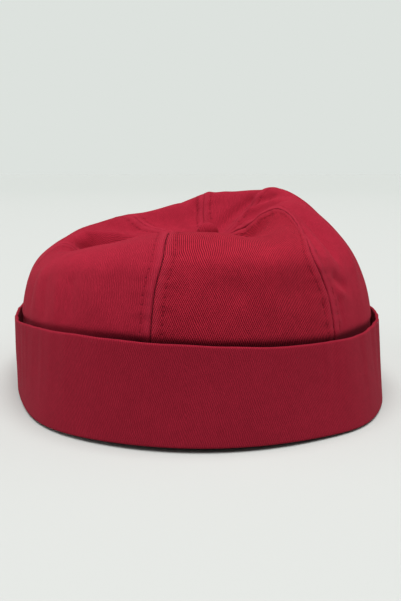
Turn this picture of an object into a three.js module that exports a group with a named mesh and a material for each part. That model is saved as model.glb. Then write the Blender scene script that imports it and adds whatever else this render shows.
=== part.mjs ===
// Brimless six-panel skullcap in cotton twill, with a turned-up cuff.
// Millimetres, +Z up. The cap stands on the ground plane z = 0, its front towards -Y and
// its wearer's left towards +X. Directions round the cap are in degrees from the front,
// growing towards +X.
import * as THREE from 'three';

// ---- driving dimensions ----
const MEAN_RADIUS = 99.5;       // outer face of the cuff's top edge
const PLAN_CENTRE = { x: -2.43, y: 1.06 };
const SEAM_GAP = 0.3;           // between neighbouring pieces
const CUFF_WALL = 2.0;          // folded cloth, two plies
const CUFF_STAND_OFF = 1.4;     // air between the cuff and the crown
const CROWN_WALL = 1.6;
const INNER_LEG_TOP = 12;       // where the crown is sewn to the cuff's inner leg
const CUFF_FRONT_LIFT = 1.6;    // the cuff's lower edge rises off the ground at the front
const CUFF_STEPS = 80;          // facets round the cuff
const BAND_WALL = 1.4;
const BAND_HEIGHT = 30;
const BAND_STEPS = 72;
const BUTTON = { x: 7, y: 12, z: 75.2, radius: 6, height: 4.6, arcSteps: 6, turnSteps: 24 };
const BUTTON_SEAT_RADIUS = 7;   // the crown is level under the button
const CROWN_TIP_RADIUS = 1.5;   // open centre under the button
const PANEL_STEPS_ACROSS = 12;

// Outline of the cuff's top edge, as waves round the mean radius.
const PLAN_WAVES = table(['order', 'cosine', 'sine'], [
  [2, 0.087, 0.045],
  [3, 0.007, -0.008],
  [4, -0.004, -0.006],
]);

// Height of the cuff's top edge above the ground.
const RIM_HEIGHT = 38.6;
const RIM_WAVES = table(['order', 'cosine', 'sine'], [
  [1, 0.8, 0],
  [2, 1.7, 0.1],
  [3, 0.2, -1.9],
]);

// Flare of the cuff: its lower edge over its top edge.
const FOOT_FLARE = 1.021;
const FOOT_WAVES = table(['order', 'cosine', 'sine'], [
  [1, 0.004, 0.024],
  [2, -0.001, 0.005],
]);

// The crown's profile in each direction. The side and the shoulder are insets from the
// crown's line at the rim; the crest and the hollow behind it are distances from the button.
const SIDE_ABOVE_RIM = 18;
const SECTIONS = table(
  ['deg', 'sideInset', 'shoulderInset', 'shoulderZ', 'crestR', 'crestZ', 'hollowR', 'hollowZ'],
  [
    [-15, 5.5, 19, 68.8, 62, 78.4, 36, 72.0],
    [5, 6.0, 21, 68.5, 58, 78.6, 32, 71.5],
    [18, 6.0, 21, 68.3, 56.5, 75.8, 30, 70.0],
    [32, 6.0, 20, 70.0, 55, 78.6, 27, 71.5],
    [48, 5.5, 18, 73.5, 46, 88.3, 24, 76.5],
    [72, 5.5, 17, 76.5, 46, 92.2, 23, 80.0],
    [95, 5.5, 18, 79.0, 40.5, 96.0, 22, 82.0],
    [125, 6.0, 19, 79.5, 38.5, 95.6, 22, 82.5],
    [155, 6.0, 20, 79.0, 40, 94.2, 22, 82.5],
    [182, 6.0, 21, 77.5, 40, 92.6, 22, 81.5],
    [200, 6.5, 21, 74.0, 43, 88.6, 22, 78.5],
    [220, 7.0, 20, 70.5, 50, 83.0, 30, 74.5],
    [242, 7.0, 18, 67.5, 63, 78.3, 38, 72.5],
    [260, 6.5, 15, 65.6, 70, 73.2, 42, 70.5],
    [279, 5.5, 13.5, 64.8, 68, 71.6, 42, 72.0],
    [290, 5.0, 13, 65.0, 72, 69.2, 50, 67.0],
    [302, 5.0, 14, 63.5, 74, 67.2, 52, 62.5],
    [325, 5.0, 16, 66.0, 67, 74.0, 46, 67.0],
  ],
);

// How far up the crown, 0 at the sewn edge and 1 at the button's centre, each of the
// profile's points lies.
const REACH = { base: 0, rim: 0.20, side: 0.34, shoulder: 0.50, crest: 0.66, hollow: 0.84,
  seat: 0.955, centre: 1 };
const PROFILE_REACHES = Object.values(REACH);
const PANEL_REACHES = [0, 0.10, 0.20, 0.27, 0.34, 0.40, 0.45, 0.50, 0.54, 0.58, 0.62, 0.66,
  0.70, 0.74, 0.78, 0.82, 0.86, 0.90, 0.94];

// The six seams, as directions at the side, the shoulder, the crest and the hollow.
const SEAMS = table(['side', 'shoulder', 'crest', 'hollow'], [
  [-7.4, -7, -15.5, -20],
  [38, 43.5, 48, 58],
  [98, 102, 113, 116],
  [165, 174, 183, 186],
  [225, 229, 234, 236],
  [287, 284, 279, 279],
]);

// Folds and hollows pressed into the collapsed crown. Each runs between two points given
// as a direction and a reach; a height above 0 is a ridge, below 0 a furrow.
const FOLDS = table(['fromDeg', 'fromReach', 'toDeg', 'toReach', 'width', 'height'], [
  [296, 0.70, 332, 0.86, 8, -3.0],
  [276, 0.62, 281, 0.88, 7, 1.4],
  [256, 0.66, 262, 0.88, 9, -1.5],
  [235, 0.68, 237, 0.90, 6, 1.5],
  [113, 0.70, 116, 0.92, 6, 1.8],
  [128, 0.70, 126, 0.92, 6, -2.0],
  [92, 0.70, 92, 0.92, 6, -2.0],
  [48, 0.70, 58, 0.92, 6, 1.6],
  [34, 0.70, 38, 0.90, 7, -1.5],
]);
const FOLD_PIECES = 8;
const FOLD_TAPER = 0.3;         // share of a fold's length over which it rises to its height
const FOLD_END = 0.25;          // share of its height that it has at its very ends

// ---- helpers ----
function table(columns, rows) {
  return rows.map((row) => Object.fromEntries(columns.map((name, i) => [name, row[i]])));
}

function waves(rows, angle) {
  return rows.reduce(
    (sum, { order, cosine, sine }) =>
      sum + cosine * Math.cos(order * angle) + sine * Math.sin(order * angle),
    0,
  );
}

// Smooth curve through values given at rising knots.
function through(knots, values, at) {
  const last = knots.length - 2;
  let i = 0;
  while (i < last && at >= knots[i + 1]) i += 1;
  const step = (j) => (values[j + 1] - values[j]) / (knots[j + 1] - knots[j]);
  const slope = (j) => {
    if (j === 0) return step(0);
    if (j === knots.length - 1) return step(j - 1);
    const before = knots[j] - knots[j - 1];
    const after = knots[j + 1] - knots[j];
    return (after * step(j - 1) + before * step(j)) / (before + after);
  };
  const span = knots[i + 1] - knots[i];
  const k = (at - knots[i]) / span;
  return (2 * k ** 3 - 3 * k ** 2 + 1) * values[i] +
    (k ** 3 - 2 * k ** 2 + k) * span * slope(i) +
    (3 * k ** 2 - 2 * k ** 3) * values[i + 1] +
    (k ** 3 - k ** 2) * span * slope(i + 1);
}

function easeInOut(x) {
  const k = THREE.MathUtils.clamp(x, 0, 1);
  return k * k * (3 - 2 * k);
}

// ---- plan of the cap ----
function rimRadius(angle) {
  return MEAN_RADIUS * (1 + waves(PLAN_WAVES, angle));
}

function rimHeight(angle) {
  return RIM_HEIGHT + waves(RIM_WAVES, angle);
}

// Radius of the cuff's outer face at a height.
function cuffRadius(angle, z) {
  const drop = 1 - z / rimHeight(angle);
  const flare = FOOT_FLARE - 1 + waves(FOOT_WAVES, angle);
  return rimRadius(angle) * (1 + flare * drop);
}

function cuffBottom(angle) {
  return CUFF_FRONT_LIFT * Math.max(0, Math.cos(angle)) ** 4;
}

function around(centre, radius, angle, z) {
  return new THREE.Vector3(
    centre.x + radius * Math.sin(angle), centre.y - radius * Math.cos(angle), z);
}

// ---- crown surface ----
const SECTION_COLUMNS = Object.keys(SECTIONS[0]).filter((name) => name !== 'deg');
const WRAPPED = [-360, 0, 360].flatMap((turn) => SECTIONS.map((s) => ({ ...s, deg: s.deg + turn })));
const WRAPPED_DEGREES = WRAPPED.map((s) => s.deg);

function sectionAt(angle) {
  const deg = THREE.MathUtils.radToDeg(angle);
  const read = (name) => through(WRAPPED_DEGREES, WRAPPED.map((s) => s[name]), deg);
  return Object.fromEntries(SECTION_COLUMNS.map((name) => [name, read(name)]));
}

// The profile's points in one direction, from the sewn edge to the button's centre.
function profile(angle) {
  const s = sectionAt(angle);
  const top = rimHeight(angle);
  const base = INNER_LEG_TOP + SEAM_GAP;
  const inset = CUFF_WALL + CUFF_STAND_OFF;
  const line = rimRadius(angle) - inset;
  return [
    around(PLAN_CENTRE, cuffRadius(angle, base) - inset, angle, base),
    around(PLAN_CENTRE, cuffRadius(angle, top - 1) - inset, angle, top - 1),
    around(PLAN_CENTRE, line - s.sideInset, angle, top + SIDE_ABOVE_RIM),
    around(PLAN_CENTRE, line - s.shoulderInset, angle, s.shoulderZ),
    around(BUTTON, s.crestR, angle, s.crestZ),
    around(BUTTON, s.hollowR, angle, s.hollowZ),
    around(BUTTON, BUTTON_SEAT_RADIUS, angle, BUTTON.z),
    around(BUTTON, 0, angle, BUTTON.z),
  ];
}

function smoothPoint(angle, reach) {
  const points = profile(angle);
  const read = (axis) => through(PROFILE_REACHES, points.map((p) => p[axis]), reach);
  return new THREE.Vector3(read('x'), read('y'), read('z'));
}

const FOLD_LINES = FOLDS.map((fold) => {
  const points = [];
  for (let i = 0; i <= FOLD_PIECES; i += 1) {
    const k = i / FOLD_PIECES;
    const angle = THREE.MathUtils.degToRad(THREE.MathUtils.lerp(fold.fromDeg, fold.toDeg, k));
    points.push(smoothPoint(angle, THREE.MathUtils.lerp(fold.fromReach, fold.toReach, k)));
  }
  return points;
});

// Height that the folds add to the smooth crown at a point.
function foldHeight(point) {
  const nearest = new THREE.Vector3();
  const piece = new THREE.Line3();
  let height = 0;
  FOLDS.forEach((fold, row) => {
    const line = FOLD_LINES[row];
    let distance = Infinity;
    let along = 0;
    for (let i = 0; i < FOLD_PIECES; i += 1) {
      piece.set(line[i], line[i + 1]);
      const k = piece.closestPointToPointParameter(point, true);
      const d = piece.at(k, nearest).distanceTo(point);
      if (d < distance) {
        distance = d;
        along = (i + k) / FOLD_PIECES;
      }
    }
    const rise = easeInOut(Math.min(along, 1 - along) / FOLD_TAPER);
    const share = FOLD_END + (1 - FOLD_END) * rise;
    height += fold.height * share * Math.exp(-((distance / fold.width) ** 2));
  });
  return height;
}

function normalOf(surface, angle, reach) {
  const step = 0.002;
  const low = Math.max(reach - step, 0);
  const high = Math.min(reach + step, REACH.centre - step);
  const round = surface(angle + step, reach).sub(surface(angle - step, reach));
  const up = surface(angle, high).sub(surface(angle, Math.min(low, high - step)));
  return round.cross(up).normalize();
}

function crownPoint(angle, reach) {
  const point = smoothPoint(angle, reach);
  const normal = normalOf(smoothPoint, angle, reach);
  return point.addScaledVector(normal, foldHeight(point));
}

// Direction of a seam at a reach; seams beyond the sixth are the first ones, a turn later.
function seamAngle(index, reach) {
  const row = SEAMS[index % SEAMS.length];
  const turns = Math.floor(index / SEAMS.length);
  const knots = [REACH.base, REACH.side, REACH.shoulder, REACH.crest, REACH.hollow, REACH.centre];
  const degrees = [row.side, row.side, row.shoulder, row.crest, row.hollow, row.hollow];
  return THREE.MathUtils.degToRad(through(knots, degrees, reach) + 360 * turns);
}

// ---- meshes ----
function meshFrom(name, points, faces, material) {
  const geometry = new THREE.BufferGeometry();
  geometry.setAttribute('position',
    new THREE.Float32BufferAttribute(points.flatMap((p) => [p.x, p.y, p.z]), 3));
  geometry.setIndex(faces.flat());
  geometry.computeVertexNormals();
  const mesh = new THREE.Mesh(geometry, material);
  mesh.name = name;
  return mesh;
}

// One gore of the crown: an outer and an inner skin, closed along its four edges.
function crownPanel(index, material) {
  const tipReach = THREE.MathUtils.lerp(
    REACH.centre, REACH.seat, CROWN_TIP_RADIUS / BUTTON_SEAT_RADIUS);
  const reaches = [...PANEL_REACHES, REACH.seat, tipReach];
  const columns = PANEL_STEPS_ACROSS + 1;
  const skin = reaches.length * columns;
  const outer = [];
  const inner = [];
  for (const reach of reaches) {
    const first = seamAngle(index, reach);
    const last = seamAngle(index + 1, reach);
    const edges = smoothPoint(first, reach).distanceTo(smoothPoint(last, reach));
    const trim = (last - first) * Math.min(SEAM_GAP / 2 / edges, 0.2);
    for (let i = 0; i < columns; i += 1) {
      const angle = THREE.MathUtils.lerp(first + trim, last - trim, i / PANEL_STEPS_ACROSS);
      const point = crownPoint(angle, reach);
      outer.push(point);
      inner.push(point.clone().addScaledVector(normalOf(crownPoint, angle, reach), -CROWN_WALL));
    }
  }
  const faces = [];
  const quad = (a, b, c, d) => faces.push([a, b, c], [a, c, d]);
  for (let row = 0; row < reaches.length - 1; row += 1) {
    for (let i = 0; i < PANEL_STEPS_ACROSS; i += 1) {
      const a = row * columns + i;
      quad(a, a + 1, a + 1 + columns, a + columns);
      quad(skin + a, skin + a + columns, skin + a + 1 + columns, skin + a + 1);
    }
    const left = row * columns;
    const right = left + PANEL_STEPS_ACROSS;
    quad(left, left + columns, skin + left + columns, skin + left);
    quad(right, skin + right, skin + right + columns, right + columns);
  }
  const tip = (reaches.length - 1) * columns;
  for (let i = 0; i < PANEL_STEPS_ACROSS; i += 1) {
    quad(i, skin + i, skin + i + 1, i + 1);
    quad(tip + i, tip + i + 1, skin + tip + i + 1, skin + tip + i);
  }
  return meshFrom(`crown_panel_${index + 1}`, [...outer, ...inner], faces, material);
}

// A ring with the same closed section all round. section(angle) gives the section's points in
// order: along the bottom towards the outside, up the outside, over, and back down inside.
function ring(name, steps, section, material) {
  const points = [];
  const faces = [];
  const count = section(0).length;
  for (let i = 0; i < steps; i += 1) {
    points.push(...section((2 * Math.PI * i) / steps));
    for (let j = 0; j < count; j += 1) {
      const next = (j + 1) % count;
      const here = i * count;
      const there = ((i + 1) % steps) * count;
      faces.push([here + j, there + j, there + next], [here + j, there + next, here + next]);
    }
  }
  return meshFrom(name, points, faces, material);
}

// The turned-up cuff: an outer leg, a fold on the ground and a short inner leg, in one cloth.
function cuffSection(angle) {
  const low = cuffBottom(angle);
  const top = rimHeight(angle);
  const outside = 0;
  const inside = CUFF_WALL;
  const legOutside = CUFF_WALL + CUFF_STAND_OFF;
  const legInside = legOutside + CROWN_WALL;
  const rows = table(['inset', 'z'], [
    [outside + 1.2, low],
    [outside, low + 1.2],
    [outside, top / 2],
    [outside, top - 0.9],
    [outside + 0.6, top],
    [inside - 0.6, top],
    [inside, top - 0.9],
    [inside, top / 2],
    [inside, low + 2.6],
    [legOutside, low + 2.6],
    [legOutside, INNER_LEG_TOP],
    [legInside, INNER_LEG_TOP],
    [legInside, low + 1.0],
    [legInside - 1.2, low],
  ]);
  return rows.map(({ inset, z }) => around(PLAN_CENTRE, cuffRadius(angle, z) - inset, angle, z));
}

// The sweatband behind the crown's lower edge; its own lower edge is level on the ground.
function bandSection(angle) {
  const outside = CUFF_WALL + CUFF_STAND_OFF + CROWN_WALL + SEAM_GAP;
  const inside = outside + BAND_WALL;
  const rows = table(['inset', 'z'], [
    [inside, 0],
    [outside, 0],
    [outside, BAND_HEIGHT],
    [inside, BAND_HEIGHT],
  ]);
  return rows.map(({ inset, z }) => around(PLAN_CENTRE, cuffRadius(angle, z) - inset, angle, z));
}

// The cloth-covered button: a low dome with a rounded rim.
function button(material) {
  const bottom = BUTTON.z + SEAM_GAP;
  const outline = [new THREE.Vector2(0, bottom), new THREE.Vector2(BUTTON.radius - 0.6, bottom)];
  for (let i = 0; i < BUTTON.arcSteps; i += 1) {
    const lean = (Math.PI / 2) * (i / BUTTON.arcSteps);
    outline.push(new THREE.Vector2(
      BUTTON.radius * Math.cos(lean), bottom + 0.6 + (BUTTON.height - 0.6) * Math.sin(lean)));
  }
  outline.push(new THREE.Vector2(0, bottom + BUTTON.height));
  const geometry = new THREE.LatheGeometry(outline, BUTTON.turnSteps);
  geometry.rotateX(Math.PI / 2);
  const mesh = new THREE.Mesh(geometry, material);
  mesh.name = 'crown_button';
  mesh.position.set(BUTTON.x, BUTTON.y, 0);
  return mesh;
}

// ---- the cap ----
const twill = new THREE.MeshStandardMaterial({ color: 0xa0182a, roughness: 0.9, metalness: 0 });
const lining = new THREE.MeshStandardMaterial({ color: 0x241a1e, roughness: 0.95, metalness: 0 });

const skullcap = new THREE.Group();
SEAMS.forEach((seam, index) => skullcap.add(crownPanel(index, twill)));
skullcap.add(button(twill));
skullcap.add(ring('cuff', CUFF_STEPS, cuffSection, twill));
skullcap.add(ring('sweatband', BAND_STEPS, bandSection, lining));

export default skullcap;
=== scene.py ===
"""Brimless six-panel skullcap in crimson cotton twill, standing on a pale studio floor.

The cap's forms are worked out in millimetres and degrees and made in metres. Directions
round the cap count from its front, which faces -Y, and grow towards +X. A reach tells how
far up the crown a point lies, 0 at its sewn edge and 1 at the middle of the button.
"""
import logging
import math
from dataclasses import astuple, dataclass
from enum import Enum
from typing import Callable, Sequence

import bmesh
import bpy
import numpy as np
from mathutils import Matrix, Vector


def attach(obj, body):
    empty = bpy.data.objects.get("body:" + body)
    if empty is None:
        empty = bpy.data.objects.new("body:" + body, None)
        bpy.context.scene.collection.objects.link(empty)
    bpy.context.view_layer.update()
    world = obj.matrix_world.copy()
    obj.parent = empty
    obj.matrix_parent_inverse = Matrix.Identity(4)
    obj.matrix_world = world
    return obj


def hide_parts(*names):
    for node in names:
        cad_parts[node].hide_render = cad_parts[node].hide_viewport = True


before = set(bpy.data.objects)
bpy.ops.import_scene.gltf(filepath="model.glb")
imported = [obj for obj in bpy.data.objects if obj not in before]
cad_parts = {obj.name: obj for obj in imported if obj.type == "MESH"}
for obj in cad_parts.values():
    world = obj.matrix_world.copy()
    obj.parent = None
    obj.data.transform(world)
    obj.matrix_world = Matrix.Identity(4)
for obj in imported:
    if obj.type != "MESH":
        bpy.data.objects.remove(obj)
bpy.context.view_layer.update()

log = logging.getLogger("skullcap")
MM = 0.001
PER_METRE = (1000.0, 1000.0, 1000.0)
FAR_FROM_SEAM = 30.0
TYPICAL_RIM = 38.0
ARC_STEP = 0.35
Array = np.ndarray
Colour = tuple[float, float, float]


# ---------------------------------------------------------------- numbers and curves


def smoothstep(x: Array) -> Array:
    """Ease from 0 to 1 as x goes from 0 to 1."""
    k = np.clip(x, 0.0, 1.0)
    return k * k * (3.0 - 2.0 * k)


def bell(distance: Array, width: float) -> Array:
    """Bell curve, 1 at distance 0 and about a third at the width."""
    return np.exp(-((distance / width) ** 2))


def slopes_of(knots: Array, values: Array) -> Array:
    """Slopes of a smooth curve through values at its knots.

    Args:
        knots: rising positions, shape (K,).
        values: values at the knots, shape (K, ...).

    Returns:
        The slope at each knot, in the shape of values.
    """
    span = np.diff(knots).reshape((-1,) + (1,) * (values.ndim - 1))
    step = np.diff(values, axis=0) / span
    inner = (span[1:] * step[:-1] + span[:-1] * step[1:]) / (span[1:] + span[:-1])
    return np.concatenate([step[:1], inner, step[-1:]], axis=0)


def through(knots: Sequence[float], values: Array, at: Array) -> Array:
    """Smooth curve through values at rising knots.

    Args:
        knots: rising positions, shape (K,).
        values: values at the knots, shape (K, D), or (K, N, D) with a curve for each point.
        at: where to read the curve, shape (N,).

    Returns:
        The curve's values, shape (N, D).
    """
    places = np.asarray(knots, float)
    slopes = slopes_of(places, values)
    i = np.clip(np.searchsorted(places, at, "right") - 1, 0, len(places) - 2)
    span = (places[i + 1] - places[i])[:, None]
    k = (at - places[i])[:, None] / span
    own = np.arange(len(at))
    pick = (lambda row, j: row[j, own]) if values.ndim == 3 else (lambda row, j: row[j])
    return (
        (2 * k**3 - 3 * k**2 + 1) * pick(values, i)
        + (k**3 - 2 * k**2 + k) * span * pick(slopes, i)
        + (3 * k**2 - 2 * k**3) * pick(values, i + 1)
        + (k**3 - k**2) * span * pick(slopes, i + 1)
    )


def unit(vectors: Array) -> Array:
    """Vectors of length 1 in the same directions."""
    return vectors / np.linalg.norm(vectors, axis=-1, keepdims=True)


def lengths_along(points: Array, axis: int) -> Array:
    """Length run so far at each point of a grid, along one of its axes.

    Args:
        points: grid of points, shape (rows, columns, 3).
        axis: 0 to run up the columns, 1 to run along the rows.

    Returns:
        Lengths, shape (rows, columns).
    """
    step = np.linalg.norm(np.diff(points, axis=axis), axis=2)
    start = np.zeros_like(step[:1] if axis == 0 else step[:, :1])
    return np.concatenate([start, np.cumsum(step, axis=axis)], axis=axis)


# ---------------------------------------------------------------- the cap's form


@dataclass(frozen=True)
class Wave:
    """One wave round the cap."""

    order: int
    cosine: float
    sine: float


@dataclass(frozen=True)
class Spread:
    """A place round the cap where the cuff's foot stands out."""

    deg: float
    width: float
    height: float


@dataclass(frozen=True)
class Section:
    """The crown's profile in one direction: shoulder, crest and the hollow behind it."""

    deg: float
    side_inset: float
    shoulder_inset: float
    shoulder_z: float
    crest_r: float
    crest_z: float
    hollow_r: float
    hollow_z: float


@dataclass(frozen=True)
class Seam:
    """Directions of one crown seam on its way up, and how tight it is drawn, up to 1."""

    foot: float
    side: float
    shoulder: float
    crest: float
    hollow: float
    tight: float = 1.0


@dataclass(frozen=True)
class Fold:
    """A ridge, or with a height below 0 a furrow, between two points of the crown."""

    from_deg: float
    from_reach: float
    to_deg: float
    to_reach: float
    width: float
    height: float


def waves(rows: Sequence[Wave], angle: Array) -> Array:
    """Sum of waves round the cap at an angle in radians."""
    return sum(
        w.cosine * np.cos(w.order * angle) + w.sine * np.sin(w.order * angle) for w in rows
    )


PLAN_WAVES = (Wave(2, 0.087, 0.045), Wave(3, 0.007, -0.008), Wave(4, -0.004, -0.006))
RIM_WAVES = (Wave(1, 0.8, 0.0), Wave(2, 1.7, 0.1), Wave(3, 0.2, -1.9))
FOOT_WAVES = (Wave(1, 0.004, 0.024), Wave(2, -0.001, 0.005))
FOOT_SPREADS = (
    Spread(-35, 17, 2.9),
    Spread(-72, 14, 0.5),
    Spread(3, 28, 2.0),
    Spread(41, 11, 2.3),
    Spread(73, 16, -1.8),
)

SECTIONS = (
    Section(-15, 4.6, 12.8, 73.0, 79, 79.7, 38, 70.4),
    Section(4, 3.8, 12.4, 73.6, 80, 80.5, 36, 70.0),
    Section(13.5, 3.5, 10.2, 73.4, 77.5, 78.2, 34, 69.0),
    Section(31, 3.4, 11.2, 74.8, 60.5, 82.2, 29, 71.0),
    Section(48, 4.4, 15.5, 74.0, 48, 88.5, 24, 76.0),
    Section(72, 4.4, 15.6, 75.3, 46, 92.0, 23, 80.0),
    Section(95, 4.3, 16.0, 78.0, 40.5, 96.0, 22, 83.0),
    Section(125, 6.0, 19, 79.5, 38.5, 95.6, 22, 83.8),
    Section(155, 6.0, 20, 79.0, 40, 94.2, 22, 83.6),
    Section(182, 6.0, 21, 77.5, 40, 92.6, 22, 81.5),
    Section(200, 6.5, 21, 74.0, 43, 88.6, 22, 78.5),
    Section(220, 7.0, 20, 70.5, 50, 83.2, 30, 74.5),
    Section(242, 5.4, 16.5, 67.5, 63, 79.0, 38, 73.5),
    Section(260, 4.4, 13.8, 66.3, 70, 73.7, 42, 71.5),
    Section(279, 3.6, 12.9, 66.6, 69, 72.8, 42, 69.5),
    Section(290, 3.5, 12.8, 67.4, 72.5, 72.3, 50, 64.5),
    Section(302, 3.6, 11.9, 66.6, 77.5, 69.4, 52, 60.5),
    Section(325, 4.0, 11.6, 69.6, 80, 73.6, 48, 65.0),
)

SEAMS = (
    Seam(-8.2, -7.0, -5.6, -12.5, -18, 1.0),
    Seam(37.4, 35.9, 33.8, 45.0, 51, 0.95),
    Seam(98, 98, 102, 113, 116, 0.2),
    Seam(165, 165, 174, 183, 186, 0.4),
    Seam(225, 225, 229, 234, 236, 0.25),
    Seam(288, 288, 289, 293, 293, 0.3),
)

MAIN_FOLDS = (
    Fold(281, 0.60, 268, 0.73, 2.6, -0.9),
    Fold(194, 0.68, 203, 0.90, 2.4, -1.6),
    Fold(42, 0.60, 37, 0.47, 2.6, -1.3),
    Fold(296, 0.70, 332, 0.86, 8, -3.9),
    Fold(303, 0.665, 349, 0.665, 3.4, 1.0),
    Fold(267, 0.50, 272, 0.68, 5.0, -1.3),
    Fold(62, 0.66, 55, 0.33, 5.0, 1.3),
    Fold(51.5, 0.63, 46.5, 0.42, 3.4, -1.9),
    Fold(281, 0.655, 263, 0.875, 4.0, 3.4),
    Fold(247, 0.62, 247, 0.78, 4.0, -0.9),
    Fold(292, 0.715, 271, 0.88, 5.4, -4.3),
    Fold(235, 0.68, 237, 0.90, 6, 1.5),
    Fold(113, 0.70, 116, 0.92, 6, 1.8),
    Fold(128, 0.70, 126, 0.92, 6, -2.0),
    Fold(92, 0.70, 92, 0.92, 6, -1.2),
    Fold(48, 0.70, 58, 0.92, 6, 1.6),
    Fold(34, 0.70, 38, 0.90, 7, -1.5),
)

FINE_FOLDS = (
    Fold(104, 0.925, 52, 0.775, 1.1, -1.5),
    Fold(97, 0.935, 47, 0.80, 1.8, 0.7),
    Fold(60, 0.92, 62, 0.72, 2.6, 1.0),
    Fold(42, 0.92, 43, 0.74, 2.4, 0.8),
    Fold(136, 0.88, 80, 0.685, 3.2, -1.6),
    Fold(118, 0.865, 67, 0.69, 3.0, 1.2),
    Fold(150, 0.90, 122, 0.72, 3.2, -1.7),
    Fold(240, 0.90, 252, 0.70, 5.0, -1.2),
    Fold(170, 0.94, 182, 0.62, 2.8, 1.1),
    Fold(188, 0.94, 199, 0.62, 3.4, -1.7),
    Fold(160, 0.94, 166, 0.66, 3.4, 0.7),
    Fold(140, 0.93, 150, 0.80, 2.6, -0.6),
    Fold(39.5, 0.405, 47.5, 0.35, 2.8, -1.4),
    Fold(39.5, 0.355, 45, 0.318, 2.2, 0.7),
    Fold(40.2, 0.345, 41.2, 0.24, 1.3, -0.6),
    Fold(35.2, 0.46, 34.6, 0.40, 1.5, 0.5),
    Fold(33.8, 0.335, 34.4, 0.27, 1.6, -0.45),
    Fold(9, 0.30, 18, 0.54, 5.0, -0.75),
    Fold(1, 0.30, 7, 0.56, 4.5, 0.6),
    Fold(-2, 0.28, 4, 0.48, 4.0, -0.5),
    Fold(17, 0.28, 25, 0.50, 5.5, 0.55),
    Fold(27, 0.28, 30, 0.46, 5.5, -0.55),
    Fold(350, 0.30, 349, 0.50, 4.5, 0.4),
    Fold(344, 0.22, 345, 0.46, 3.6, -0.45),
    Fold(338, 0.22, 339, 0.48, 3.8, 0.45),
    Fold(331, 0.22, 329, 0.42, 3.4, -0.6),
    Fold(325.5, 0.21, 323, 0.38, 3.0, 0.6),
    Fold(319, 0.21, 316, 0.40, 3.2, -0.5),
    Fold(311, 0.22, 312, 0.46, 5.0, 0.5),
    Fold(304, 0.22, 305, 0.42, 4.5, -0.6),
    Fold(296, 0.22, 296, 0.44, 4.5, 0.5),
)


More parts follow.
